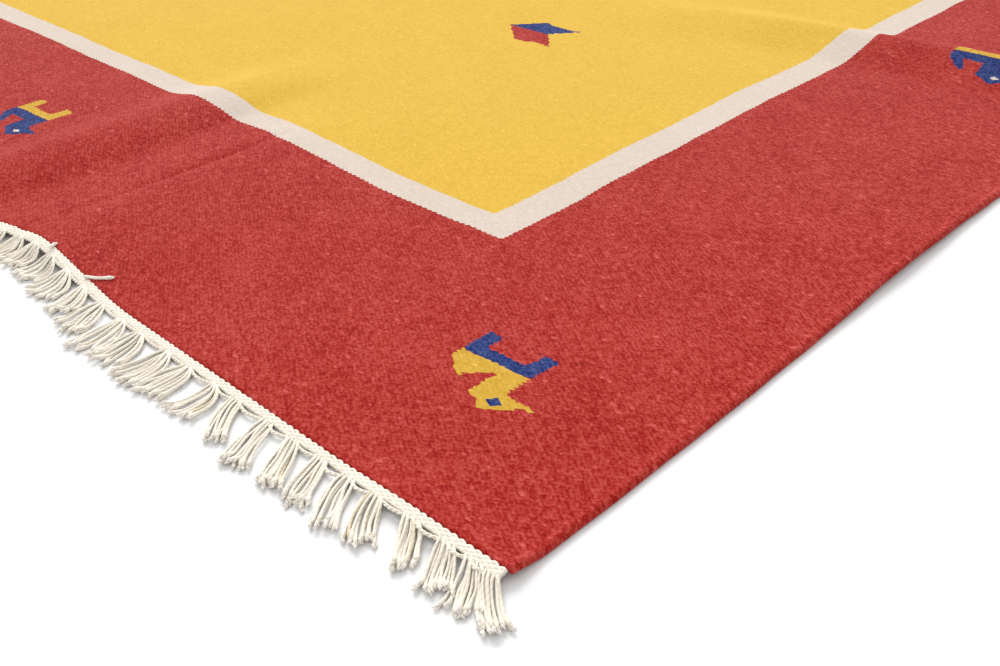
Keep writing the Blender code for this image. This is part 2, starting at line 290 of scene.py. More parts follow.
LEAN_BODY = (
    Spans(-27.2, 0, 0, 0, 0),
    Spans(-27.0, 0, 0, 10.5, 13),
    Spans(-24.0, 0, 0, 7, 17.5),
    Spans(-21.2, 0, 0, 4.2, 21),
    Spans(-21.0, 0, 0, -1, 21.2),
    Spans(-17.2, 0, 0, -2, 25.5),
    Spans(-17.0, -17, -14.8, -2, 26),
    Spans(-13.6, -21.5, -14.6, -2, 30),
    Spans(-12.1, -23.2, -15.2, -2, 24),
    Spans(-10.3, -25, -16.2, -2, 15),
    Spans(-9.0, -26, -17, -2.3, 14),
    Spans(-3.2, -31, -20.5, -3.2, 14),
    Spans(-3.0, -31.5, 14, 0, 0),
    Spans(6.4, -31.5, 14, 0, 0),
    Spans(6.6, 0, 0, 0, 0),
)
EYE = (13.2, -18.8, 5.0, 3.4)   # its middle, and half its width and height, in the slanting chart
SMALL_EYE = 0.65                # size of the pale eye, as a share of the blue one
ARROW = (
    Spans(-26.2, 0, 0, 0, 0),
    Spans(-26.0, -5, 8, 0, 0),
    Spans(-23.1, -8, 13, 0, 0),
    Spans(-22.9, -8.3, 13.4, 31, 34.5),
    Spans(-21.2, -10, 15.5, 20, 33.5),
    Spans(-21.0, -10.3, 33.2, 0, 0),
    Spans(-1.0, -33, 12.5, 0, 0),
    Spans(0.0, -34.5, 11, 0, 0),
    Spans(1.0, -32.5, 10.5, 0, 0),
    Spans(20.2, -13, 28, 0, 0),
    Spans(20.4, -12.9, -1.5, 21, 28),
    Spans(22.0, -11.5, -5, 25, 29.3),
    Spans(24.6, -9.8, -8.8, 29.8, 31.5),
    Spans(24.8, 0, 0, 0, 0),
)

# The weave
WANDER = (                      # how the yarns wander: features for each metre, octaves of detail, how far
    (9.0, 0.0, 0.0040),         # over a hand's width
    (34.0, 1.0, 0.0022),        # over 3 cm
    (230.0, 1.0, 0.0010),       # over 4 mm, as the yarn's thickness varies
)
TOOTH = 0.0021                  # half the length of three picks, after which a colour's yarn turns back
BITE = 0.30                     # how far the turns stand out, as a share of that
BITE_MIDDLE = 0.0003            # taken off, so that they stand out to both sides alike
BUMP_PAINTED_LIGHT, BUMP_HEIGHT = 0.08, 0.3      # from a pit to a bump's top: painted light and shade in the colour's tone, and the relief
PIT_PAINTED_SHADE = -0.03                        # painted shade of a pit between the bumps
TWIST_PAINTED_LIGHT, TWIST_HEIGHT = 0.015, 0.06  # painted light on the ridges of a yarn's twist, and their relief
STITCH_TONE = 0.14                      # how much the tone varies from stitch to stitch
GLINT_CHANCE = 0.993                    # a stitch whose chance is above this gets a painted glint: it is painted paler
PAINTED_GLINT_TONE = 0.20
PAINTED_HIGHLIGHT_SHARE = 0.11                             # share of the tone added as grey to any colour: a painted highlight of lit fibres where the tone is up, painted shade where it is down
DEEPEST_PAINTED_SHADE = 0.002                         # the darkest that the painted shade of a pit makes any colour
PALE = (0.10, 0.38, 1.0, 0.27)  # between these two brightnesses the contrast falls from 1.0 to 0.27
YARN_SLANT = 145.0              # degrees, of the yarn's twist on the cloth
YARN_STRETCH = 1.6              # how much longer than wide its unevenness is

# Unevenness of the wool yarn. Its single fibres are too fine to show, so the finest are drawn 0.7 mm apart.
# scale     features for each metre
# detail    octaves of finer ones
# tone, height   their shares of the colour's tone and of the relief; where a row has a height, its tone rises with the relief, so a lump's top is painted lighter, painted light, besides tone that differs at random
Unevenness = namedtuple("Unevenness", "scale detail tone height")
WOOL_UNEVENNESS = (
    Unevenness(1500.0, 1.0, 0.34, 0.30),        # 0.7 mm, tufts of fibre
    Unevenness(640.0, 1.0, 0.58, 0.60),         # 1.6 mm, lumps as long as the yarn is thick
    Unevenness(300.0, 1.0, 0.34, 0.42),         # 3.3 mm, longer lumps of hand-spun yarn
    Unevenness(120.0, 1.0, 0.16, 0.20),         # 8 mm, neighbouring stitches that lie alike
    Unevenness(24.0, 2.0, 0.17, 0.00),          # 42 mm, lengths of yarn that took the dye alike
)

COTTON_WHITE = "#e6ded4"
COTTON_STRAW = "#c1b288"
COTTON_PLY = 0.0032             # from one ply to the next, along the yarn
COTTON_FIBRES = 1500.0          # features for each metre: 0.7 mm, as single fibres are too fine to show

# The stage
PAPER_WHITE = "#dfdfdf"
PAPER_REACH = 60.0
PAPER_DROP = 0.0001             # the floor lies this far under the rug
CAMERA_PLACE = (1.0708, -1.42176, 0.323)
CAMERA_ANGLES = (33.35, -45.17, 1.79)   # degrees down, from plus Y towards plus X, and clockwise
CAMERA_LENS = 40.32             # mm, for a sensor 36 mm wide
CAMERA_SENSOR = 36.0
SKY_COLOUR = (0.99, 0.995, 1.0, 1.0)
SKY_STRENGTH = 1.06
SUN_FROM = (-0.69, 0.45, 0.56)
SUN_DISTANCE = 3.0
SUN_STRENGTH = 3.2
SUN_ANGLE = 38.0                # degrees, so wide that its shadows are soft


def linear(code):
    """The linear colour of an sRGB hex code."""
    share = np.array([int(code[place:place + 2], 16) for place in (1, 3, 5)]) / 255.0
    return tuple(np.where(share <= 0.04045, share / 12.92, ((share + 0.055) / 1.055) ** 2.4).tolist())


class RugSizes(bpy.types.PropertyGroup):
    width: bpy.props.FloatProperty(
        name="Width", description="Across the rug, selvedge to selvedge", default=1.70, unit="LENGTH")
    length: bpy.props.FloatProperty(
        name="Length", description="Along the warp, without the headings", default=2.40, unit="LENGTH")
    thickness: bpy.props.FloatProperty(
        name="Thickness", description="Of the woven cloth", default=0.003, unit="LENGTH")
    cell: bpy.props.FloatProperty(
        name="Surface step", description="Widest step of the cloth's grid", default=0.016, unit="LENGTH")
    warp_pitch: bpy.props.FloatProperty(
        name="Warp pitch", description="From one warp to the next", default=0.0023, unit="LENGTH")
    pick_pitch: bpy.props.FloatProperty(
        name="Pick pitch", description="From one weft pick to the next", default=0.0014, unit="LENGTH")
    strand: bpy.props.FloatProperty(
        name="Fringe yarn", description="Diameter of one fringe strand", default=0.0016, unit="LENGTH")
    strands: bpy.props.IntProperty(
        name="Strands per bundle", description="How many warps hang together", default=10, min=3, max=12)


class RugColours(bpy.types.PropertyGroup):
    border: bpy.props.FloatVectorProperty(
        name="Border", description="Red wool of the border", subtype="COLOR", default=linear("#95271e"))
    field: bpy.props.FloatVectorProperty(
        name="Field", description="Yellow wool of the field", subtype="COLOR", default=linear("#c19c37"))
    band: bpy.props.FloatVectorProperty(
        name="Guard band", description="Cream wool of the band", subtype="COLOR", default=linear("#bcaea1"))
    gold: bpy.props.FloatVectorProperty(
        name="Motif gold", description="Gold wool of animals", subtype="COLOR", default=linear("#b38d2e"))
    blue: bpy.props.FloatVectorProperty(
        name="Motif blue", description="Blue wool of motifs", subtype="COLOR", default=linear("#1d2f62"))


def soft_step(share):
    """0 at share 0 and 1 at share 1, level at both ends."""
    share = np.clip(share, 0.0, 1.0)
    return share * share * (3.0 - 2.0 * share)


def slope_profile(share, bend):
    """Height from foot (share 0) to crest (share 1): a straight slope with rounded ends, then bent."""
    share = np.clip(share, 0.0, 1.0)
    curve = 2.0 * ROUNDING * (1.0 - ROUNDING)
    straight = (share - ROUNDING / 2.0) / (1.0 - ROUNDING)
    ramp = np.where(share < ROUNDING, share**2 / curve, straight)
    ramp = np.where(share > 1.0 - ROUNDING, 1.0 - (1.0 - share) ** 2 / curve, ramp)
    return ramp * (1.0 + bend * (1.0 - ramp))


def fold_height(fold, x, y):
    """Height of one fold at (x, y): its crest's height along the run, times the profile of its slopes."""
    along, across = (y, x) if fold.runs == "Y" else (x, y)
    to_full = (along - fold.edge) / (fold.full - fold.edge)
    to_end = (along - fold.full) / (fold.end - fold.full)
    crest_height = fold.edge_height + (fold.full_height - fold.edge_height) * soft_step(to_full)
    crest_height = crest_height * (1.0 - soft_step(to_end))
    aside = across - fold.crest - fold.slant * (along - fold.full)
    plus_side = slope_profile(1.0 - aside / fold.plus, fold.plus_bend)
    minus_side = slope_profile(1.0 + aside / fold.minus, fold.minus_bend)
    return crest_height * np.where(aside > 0.0, plus_side, minus_side)


def lift(x, y):
    """How far the underside stands off the floor at (x, y)."""
    return sum(fold_height(fold, x, y) for fold in FOLDS)


def bow(x, y):
    """How far the picks at flat place (x, y) are drawn towards plus Y."""
    return sum(fold_height(fold, x, y) for fold in BOWS)


def bundle_places(bundles, lies, seed, width):
    """Root X, tip X and reach of each bundle along one end, from the plus X corner to the minus X one."""
    draw = np.random.RandomState(seed)
    given = {column: [getattr(lie, column) for lie in lies] for column in Lie._fields}
    span = width - 2.0 * (HEADING_INSET + ROOT_HALF_WIDTH)
    placed = len(bundles)
    place = [bundle.place for bundle in bundles]
    while place[-1] < span:
        pitch = np.interp(place[-1], given["place"], given["pitch"])
        place.append(place[-1] + pitch * (1.0 + PITCH_JITTER * draw.uniform(-1.0, 1.0)))
    place = np.array(place[:-1])
    start = place[placed - 1]
    place[placed:] = start + (place[placed:] - start) * (span - LAST_BUNDLE - start) / (place[-1] - start)
    sway_jitter, reach_jitter = draw.uniform(-1.0, 1.0, (2, len(place)))
    sway = np.interp(place, given["place"], given["sway"]) + SWAY_JITTER * sway_jitter
    reach = np.interp(place, given["place"], given["reach"]) + REACH_JITTER * reach_jitter
    sway[:placed] = [bundle.sway for bundle in bundles]
    reach[:placed] = [bundle.reach for bundle in bundles]
    root = span / 2.0 - place
    return root, root + sway, reach


def grid_quads(rows, columns):
    """Corner indices of the quads of a grid of points, rows by columns, whose last column joins the first."""
    row, column = np.meshgrid(np.arange(rows - 1), np.arange(columns), indexing="ij")
    after = (column + 1) % columns
    quads = np.stack([row * columns + column, row * columns + after,
                      (row + 1) * columns + after, (row + 1) * columns + column], axis=-1)
    return quads.reshape(-1, 4)


def new_piece(name, points, polygons, corner_uvs, material, face_values):
    """A mesh object from arrays: points, groups of polygons with their corners' UVs, and values by face."""
    mesh = bpy.data.meshes.new(name)
    counts = np.concatenate([np.full(len(group), group.shape[1]) for group in polygons])
    corners = np.concatenate([group.ravel() for group in polygons])
    mesh.vertices.add(len(points))
    mesh.vertices.foreach_set("co", np.asarray(points, np.float32).ravel())
    mesh.loops.add(len(corners))
    mesh.loops.foreach_set("vertex_index", corners.astype(np.int32))
    mesh.polygons.add(len(counts))
    mesh.polygons.foreach_set("loop_start", (np.cumsum(counts) - counts).astype(np.int32))
    mesh.polygons.foreach_set("use_smooth", np.full(len(counts), True))
    uv_map = mesh.uv_layers.new(name="weave")
    uv_pairs = np.concatenate([uv.reshape(-1, 2) for uv in corner_uvs])
    uv_map.data.foreach_set("uv", uv_pairs.astype(np.float32).ravel())
    for label, values in face_values.items():
        kind, key = ("FLOAT_VECTOR", "vector") if values.ndim == 2 else ("FLOAT", "value")
        layer = mesh.attributes.new(label, kind, "FACE")
        layer.data.foreach_set(key, values.astype(np.float32).ravel())
    mesh.update(calc_edges=True)
    mesh.validate()
    mesh.materials.append(material)
    piece = bpy.data.objects.new(name, mesh)
    bpy.context.collection.objects.link(piece)
    return piece


def fold_spans(axis):
    """The stretch (low, high) that each fold running along that axis takes up on the other axis."""
    return [(fold.crest - fold.minus, fold.crest + fold.plus) for fold in FOLDS if fold.runs == axis]


def spaced(extent, pitch, spans):
    """Places from minus to plus half the extent, a pitch apart, with more over each span (low, high).

    Lines for each metre are 1 / pitch, and LINES_PER_SPAN / its length more in a span. The places are where
    their running sum comes to even steps.
    """
    fine = np.linspace(-extent / 2.0, extent / 2.0, GRID_SAMPLES)
    density = np.full(fine.shape, 1.0 / pitch)
    for low, high in spans:
        density += np.where((fine > low) & (fine < high), LINES_PER_SPAN / (high - low), 0.0)
    count = np.concatenate([[0.0], np.cumsum((density[1:] + density[:-1]) / 2.0) * (fine[1] - fine[0])])
    steps = int(np.ceil(count[-1]))
    return np.interp(np.linspace(0.0, count[-1], steps + 1), count, fine)


def rounded_ends(places, radius):
    """The places, with those near either end spread round a quarter circle: its middle + radius * sine."""
    half = places[-1]
    arc = half - radius + radius * np.sin(np.radians(ARC_DEGREES))
    inner = places[np.abs(places) < half - radius * ARC_CLEARANCE]
    return np.concatenate([-arc[::-1], inner, arc])


def cloth_points(u, v, sizes):
    """The cloth's middle surface and half thickness at flat place (u, v).

    Place: u wanders at the selvedges by a cosine along v and by a finer product of two sines, v is drawn in
    by the bow, and the height is the folds' plus a faint unevenness, the product of two sines. Half
    thickness: that of the cloth, plus the selvedge's thicker last warps by a squared sine, times the profile
    of a half circle within half a thickness of a selvedge, and times most of a half circle's at each end.
    """
    half = sizes.thickness / 2.0
    wave = SELVEDGE_WAVE * np.cos(2.0 * np.pi * (v - SELVEDGE_WAVE_CREST) / SELVEDGE_WAVE_LENGTH)
    short, long = SELVEDGE_UNEVEN_LENGTHS
    wave = wave + SELVEDGE_UNEVEN * np.sin(v / short) * np.sin(v / long + 1.0)
    x = u + wave * 2.0 * u / sizes.width
    y = v + bow(u, v)
    across = np.sin(u / RIPPLE_ACROSS + 2.0 * np.sin(v / RIPPLE_DRIFT_ALONG))
    along = np.sin(v / RIPPLE_ALONG + 2.0 * np.sin(u / RIPPLE_DRIFT_ACROSS))
    height = lift(u, v) + half + RIPPLE * (1.0 + across * along)
    side = np.clip((np.abs(u) - sizes.width / 2.0 + half) / half, 0.0, 1.0)
    end = np.clip((np.abs(v) - sizes.length / 2.0 + half) / half, 0.0, 1.0)
    inward = np.clip((sizes.width / 2.0 - np.abs(u)) / SELVEDGE_ROLL_WIDTH, 0.0, 1.0)
    roll = SELVEDGE_ROLL * np.sin(np.pi * inward) ** 2
    thinned = 1.0 - END_THINNING + END_THINNING * np.sqrt(1.0 - end**2)
    thick = (half + roll) * np.sqrt(1.0 - side**2) * thinned
    return x, y, height + roll, thick


def motif_sites():
    """Middle and kind of each motif, one row each: the animals round the border, then the field's arrows."""
    sites = []
    for i, x in enumerate(ANIMAL_COLUMNS):
        for j, y in enumerate(ANIMAL_ROWS):
            if i in (0, len(ANIMAL_COLUMNS) - 1) or j in (0, len(ANIMAL_ROWS) - 1):
                sites.append((x, y, BLUE_LEGS if (i + j) % 2 else GOLD_LEGS))
    for i, x in enumerate(ARROW_COLUMNS):
        for j, y in enumerate(ARROW_ROWS):
            sites.append((x, y, RED_TOP if (i + j) % 2 else BLUE_TOP))
    return np.array(sites)


def add(tree, kind, *inputs, **settings):
    """A node of that kind with its settings, and its inputs in order: a socket to link, a value or None."""
    node = tree.nodes.new(kind)
    for key, value in settings.items():
        setattr(node, key, value)
    for socket, value in zip(node.inputs, inputs):
        if isinstance(value, bpy.types.NodeSocket):
            tree.links.new(value, socket)
        elif value is not None:
            socket.default_value = value
    return node


MATH = "ShaderNodeMath"
VECTOR = "ShaderNodeVectorMath"
NOISE = "ShaderNodeTexNoise"
MIX = "ShaderNodeMix"


def new_material(name):
    """A material with its node tree and its shader node."""
    material = bpy.data.materials.new(name)
    material.use_nodes = True
    tree = material.node_tree
    return material, tree, tree.nodes["Principled BSDF"]


def chart_mask(tree, across, height, rows):
    """1 inside the chart's spans, else 0.

    A ramp up the rows gives the four ends of both spans, as its colour's parts and its alpha, and across is
    tested between them.
    """
    up = add(tree, MATH, height, 0.5 / CHART_REACH, 0.5, operation="MULTIPLY_ADD").outputs[0]
    ramp = add(tree, "ShaderNodeValToRGB", up)
    stops = ramp.color_ramp.elements
    while len(stops) < len(rows):
        stops.new(0.5)
    for stop, row in zip(stops, rows):
        stop.position = 0.5 + 0.5 * row.height / CHART_REACH
        stop.color = [0.5 + 0.5 * place / CHART_REACH for place in row[1:]]
    ends = add(tree, "ShaderNodeSeparateColor", ramp.outputs["Color"]).outputs
    share = add(tree, MATH, across, 0.5 / CHART_REACH, 0.5, operation="MULTIPLY_ADD").outputs[0]
    spans = []
    for left, right in ((ends[0], ends[1]), (ends[2], ramp.outputs["Alpha"])):
        over = add(tree, MATH, share, left, operation="GREATER_THAN").outputs[0]
        under = add(tree, MATH, share, right, operation="LESS_THAN").outputs[0]
        spans.append(add(tree, MATH, over, under, operation="MULTIPLY").outputs[0])
    return add(tree, MATH, *spans, operation="MAXIMUM").outputs[0]


def woven_wool(sizes, colours):
    """Wool tapestry weave, hand-spun and a little felted.

    To the eye it is matt, with rows of small uneven bumps where the weft goes over a warp, their tops painted
    lighter and the pits between them painted darker, as painted light and shade, and a painted highlight of
    paler fibres. A bump is the product of two cosines, one along each diagonal of the lattice of warps and
    picks.
    """
    material, tree, shader = new_material("wool_tapestry_weave")
    flat = add(tree, "ShaderNodeUVMap", uv_map="weave").outputs[0]
    moved = flat
    for scale, detail, size in WANDER:
        drift = add(tree, NOISE, flat, None, scale, detail, 0.6, noise_dimensions="2D").outputs["Color"]
        centred = add(tree, VECTOR, drift, (0.5, 0.5, 0.5), operation="SUBTRACT").outputs[0]
        moved = add(tree, VECTOR, centred, (size, size, 0.0), moved, operation="MULTIPLY_ADD").outputs[0]
    axes = add(tree, "ShaderNodeSeparateXYZ", moved).outputs

    # bumps stand where pick and warp are both even or both odd: the nearest one, and the place within it
    warps = add(tree, MATH, axes[0], 0.5 / sizes.warp_pitch, operation="MULTIPLY").outputs[0]
    picks = add(tree, MATH, axes[1], 0.5 / sizes.pick_pitch, operation="MULTIPLY").outputs[0]
    indices, shares, angles = [], [], []
    for operation in ("ADD", "SUBTRACT"):
        diagonal = add(tree, MATH, warps, picks, operation=operation).outputs[0]
        index = add(tree, MATH, diagonal, operation="ROUND").outputs[0]
        aside = add(tree, MATH, diagonal, index, operation="SUBTRACT").outputs[0]
        angle = add(tree, MATH, aside, np.pi, operation="MULTIPLY").outputs[0]
        indices.append(index)
        shares.append(add(tree, MATH, angle, operation="COSINE").outputs[0])
        angles.append(angle)
    bump = add(tree, MATH, *shares, operation="MULTIPLY").outputs[0]
    twist = add(tree, MATH, angles[0], 2.0, operation="MULTIPLY").outputs[0]
    twist = add(tree, MATH, twist, operation="COSINE").outputs[0]
    warp = add(tree, MATH, *indices, operation="ADD").outputs[0]
    pick = add(tree, MATH, *indices, operation="SUBTRACT").outputs[0]

    # colours are told apart halfway between a place and its bump's middle, so their edges are a bit ragged
    halves = []
    for index, pitch, place in ((warp, sizes.warp_pitch, axes[0]), (pick, sizes.pick_pitch, axes[1])):
        half = add(tree, MATH, place, 0.5, operation="MULTIPLY").outputs[0]
        halves.append(add(tree, MATH, index, 0.5 * pitch, half, operation="MULTIPLY_ADD").outputs[0])
    across, along = halves
    stitch = add(tree, "ShaderNodeCombineXYZ", warp, pick).outputs[0]
    chance = add(tree, "ShaderNodeTexWhiteNoise", stitch, noise_dimensions="2D").outputs["Value"]

    # where two colours meet along the warp, their yarns turn back in steps of three picks
    tooth = add(tree, MATH, axes[1], TOOTH, operation="PINGPONG").outputs[0]
    bite = add(tree, MATH, tooth, BITE, -BITE_MIDDLE, operation="MULTIPLY_ADD").outputs[0]

    # border, guard band and field, by the distance in from the nearest edge
    from_middle = add(tree, MATH, across, operation="ABSOLUTE").outputs[0]
    from_selvedge = add(tree, MATH, sizes.width / 2.0, from_middle, operation="SUBTRACT").outputs[0]
    toothed = add(tree, MATH, from_selvedge, bite, operation="ADD").outputs[0]
    from_centre = add(tree, MATH, along, operation="ABSOLUTE").outputs[0]
    from_end = add(tree, MATH, sizes.length / 2.0, from_centre, operation="SUBTRACT").outputs[0]
    inward = add(tree, MATH, toothed, from_end, operation="MINIMUM").outputs[0]
    in_band = add(tree, MATH, inward, BORDER, operation="GREATER_THAN").outputs[0]
    past_end_band = add(tree, MATH, from_end, BAND - END_BAND, operation="ADD").outputs[0]
    inward = add(tree, MATH, toothed, past_end_band, operation="MINIMUM").outputs[0]
    in_field = add(tree, MATH, inward, BORDER + BAND, operation="GREATER_THAN").outputs[0]

    # place within the nearest motif's chart, and which motif it is
    site = add(tree, "ShaderNodeAttribute", attribute_name="motif_site").outputs["Vector"]
    site_x, site_y, kind = add(tree, "ShaderNodeSeparateXYZ", site).outputs
    bitten = add(tree, MATH, across, bite, operation="ADD").outputs[0]
    chart_x = add(tree, MATH, bitten, site_x, operation="SUBTRACT").outputs[0]
    chart_x = add(tree, MATH, chart_x, CHART_ACROSS, operation="MULTIPLY").outputs[0]
    chart_y = add(tree, MATH, along, site_y, operation="SUBTRACT").outputs[0]
    chart_y = add(tree, MATH, chart_y, CHART_ALONG, operation="MULTIPLY").outputs[0]
    slanted = add(tree, MATH, chart_y, SLANT_START * SLANT, operation="SUBTRACT").outputs[0]
    slanted = add(tree, MATH, chart_x, -SLANT, slanted, operation="MULTIPLY_ADD").outputs[0]
    legs = chart_mask(tree, chart_x, slanted, LEGS)
    full_body = chart_mask(tree, chart_x, slanted, FULL_BODY)
    lean_body = chart_mask(tree, chart_x, slanted, LEAN_BODY)
    arrow = chart_mask(tree, chart_x, chart_y, ARROW)
    spans = []
    for place, middle, half in ((chart_x, EYE[0], EYE[2]), (slanted, EYE[1], EYE[3])):
        aside = add(tree, MATH, place, middle, operation="SUBTRACT").outputs[0]
        aside = add(tree, MATH, aside, operation="ABSOLUTE").outputs[0]
        spans.append(add(tree, MATH, aside, half, operation="DIVIDE").outputs[0])
    eye = add(tree, MATH, *spans, operation="ADD").outputs[0]
    small_eye = add(tree, MATH, eye, SMALL_EYE, operation="LESS_THAN").outputs[0]
    eye = add(tree, MATH, eye, 1.0, operation="LESS_THAN").outputs[0]
    upper = add(tree, MATH, chart_y, 0.0, operation="GREATER_THAN").outputs[0]

    # colours are laid over each other: (kind of motif or None, mask, colour)
    wool = {key: (*getattr(colours, key), 1.0) for key in ("border", "field", "band", "gold", "blue")}
    lower = add(tree, MATH, 1.0, upper, operation="SUBTRACT").outputs[0]
    arrow_top = add(tree, MATH, arrow, upper, operation="MULTIPLY").outputs[0]
    arrow_foot = add(tree, MATH, arrow, lower, operation="MULTIPLY").outputs[0]
    colour = wool["border"]
    for motif, mask, over in (
        (None, in_band, wool["band"]),
        (None, in_field, wool["field"]),
        (BLUE_LEGS, legs, wool["blue"]),
        (BLUE_LEGS, full_body, wool["gold"]),
        (BLUE_LEGS, eye, wool["blue"]),
        (GOLD_LEGS, legs, wool["gold"]),
        (GOLD_LEGS, lean_body, wool["blue"]),
        (GOLD_LEGS, small_eye, wool["band"]),
        (BLUE_TOP, arrow_top, wool["blue"]),
        (BLUE_TOP, arrow_foot, wool["border"]),
        (RED_TOP, arrow_top, wool["border"]),
        (RED_TOP, arrow_foot, wool["blue"]),
    ):
        if motif is not None:
            is_kind = add(tree, MATH, kind, float(motif), 0.1, operation="COMPARE").outputs[0]
            mask = add(tree, MATH, mask, is_kind, operation="MULTIPLY").outputs[0]
        laid = add(tree, MIX, mask, None, None, None, None, None, colour, over, data_type="RGBA")
        colour = laid.outputs[2]

    # light scatters between pale yarns, so pits and bumps show less in pale wool
    brightness = add(tree, "ShaderNodeRGBToBW", colour).outputs[0]
    contrast = add(tree, "ShaderNodeMapRange", brightness, *PALE).outputs[0]

    # unevenness of the yarn, drawn out along its slanting twist
    slant = (0.0, 0.0, np.radians(YARN_SLANT))
    twisted = add(tree, "ShaderNodeMapping", flat, None, slant, (YARN_STRETCH, 1.0, 1.0),
                  vector_type="TEXTURE").outputs[0]
    # painted light and shade: a bump's top and a twist's ridge are painted lighter, a pit darker
    tone = add(tree, MATH, bump, BUMP_PAINTED_LIGHT, PIT_PAINTED_SHADE, operation="MULTIPLY_ADD").outputs[0]
    tone = add(tree, MATH, twist, TWIST_PAINTED_LIGHT, tone, operation="MULTIPLY_ADD").outputs[0]
    relief = add(tree, MATH, bump, BUMP_HEIGHT, operation="MULTIPLY").outputs[0]
    relief = add(tree, MATH, twist, TWIST_HEIGHT, relief, operation="MULTIPLY_ADD").outputs[0]
    for row in WOOL_UNEVENNESS:
        noise = add(tree, NOISE, twisted, None, row.scale, row.detail, 0.6, noise_dimensions="2D")
        noise = noise.outputs["Fac"]
        centred = add(tree, MATH, noise, 0.5, operation="SUBTRACT").outputs[0]
        tone = add(tree, MATH, centred, row.tone, tone, operation="MULTIPLY_ADD").outputs[0]
        relief = add(tree, MATH, noise, row.height, relief, operation="MULTIPLY_ADD").outputs[0]
    own_tone = add(tree, MATH, chance, STITCH_TONE, -STITCH_TONE / 2.0, operation="MULTIPLY_ADD").outputs[0]
    tone = add(tree, MATH, tone, own_tone, operation="ADD").outputs[0]
    # painted glint: a few stitches at random are painted paler
    glint = add(tree, MATH, chance, GLINT_CHANCE, operation="GREATER_THAN").outputs[0]
    tone = add(tree, MATH, glint, PAINTED_GLINT_TONE, tone, operation="MULTIPLY_ADD").outputs[0]
    tone = add(tree, MATH, tone, contrast, operation="MULTIPLY").outputs[0]
    relief = add(tree, MATH, relief, contrast, operation="MULTIPLY").outputs[0]

    # painted highlight and shade: where the tone is up, grey is added as a painted highlight of lit fibres,
    # and where it is down, grey is taken off, so pits are painted deeper in colour as painted shade
    factor = add(tree, MATH, tone, 1.0, operation="ADD").outputs[0]
    haze = add(tree, MATH, tone, PAINTED_HIGHLIGHT_SHARE, operation="MULTIPLY").outputs[0]
    shaded = add(tree, VECTOR, colour, factor, haze, operation="MULTIPLY_ADD").outputs[0]
    shaded = add(tree, VECTOR, shaded, (DEEPEST_PAINTED_SHADE, DEEPEST_PAINTED_SHADE, DEEPEST_PAINTED_SHADE), operation="MAXIMUM").outputs[0]
    tree.links.new(shaded, shader.inputs["Base Color"])
    shader.inputs["Roughness"].default_value = 1.0
    shader.inputs["Specular IOR Level"].default_value = 0.05
    shader.inputs["Sheen Weight"].default_value = 0.05
    shader.inputs["Sheen Roughness"].default_value = 0.6
    raised = add(tree, "ShaderNodeBump", 0.7, 0.0006)
    tree.links.new(relief, raised.inputs["Height"])
    tree.links.new(raised.outputs[0], shader.inputs["Normal"])
    return material


def cotton_yarn(name):
    """Undyed cotton yarn: cream and matt, of two plies that turn round each other, a few strands like straw.

    The plies' ridges are a sine of the share of the turn and the distance along the yarn.
    """
    material, tree, shader = new_material(name)
    turn = add(tree, "ShaderNodeUVMap", uv_map="weave").outputs[0]
    axes = add(tree, "ShaderNodeSeparateXYZ", turn).outputs
    tone = add(tree, "ShaderNodeAttribute", attribute_name="yarn_tone").outputs["Fac"]
    straw = add(tree, MIX, tone, None, None, None, None, None,
                (*linear(COTTON_WHITE), 1.0), (*linear(COTTON_STRAW), 1.0), data_type="RGBA").outputs[2]
    twist = add(tree, MATH, axes[1], 1.0 / COTTON_PLY, operation="MULTIPLY").outputs[0]
    plies = add(tree, MATH, axes[0], 2.0, twist, operation="MULTIPLY_ADD").outputs[0]
    around = add(tree, MATH, plies, 2.0 * np.pi, operation="MULTIPLY").outputs[0]
    ridge = add(tree, MATH, around, operation="SINE").outputs[0]
    place = add(tree, "ShaderNodeTexCoord").outputs["Object"]
    fibres = add(tree, NOISE, place, None, COTTON_FIBRES, 2.0, 0.6).outputs["Fac"]
    relief = add(tree, MATH, ridge, 0.35, fibres, operation="MULTIPLY_ADD").outputs[0]
    # painted light: the plies' ridges are painted a little lighter, and the fibres' noise varies the tone at
    # random
    shade = add(tree, MATH, ridge, 0.035, 0.90, operation="MULTIPLY_ADD").outputs[0]
    shade = add(tree, MATH, fibres, 0.14, shade, operation="MULTIPLY_ADD").outputs[0]
    shaded = add(tree, VECTOR, straw, None, None, shade, operation="SCALE").outputs[0]
    tree.links.new(shaded, shader.inputs["Base Color"])
    shader.inputs["Roughness"].default_value = 0.85
    shader.inputs["Specular IOR Level"].default_value = 0.3
    shader.inputs["Sheen Weight"].default_value = 0.1
    raised = add(tree, "ShaderNodeBump", 0.5, 0.0003)
    tree.links.new(relief, raised.inputs["Height"])
    tree.links.new(raised.outputs[0], shader.inputs["Normal"])
    return material


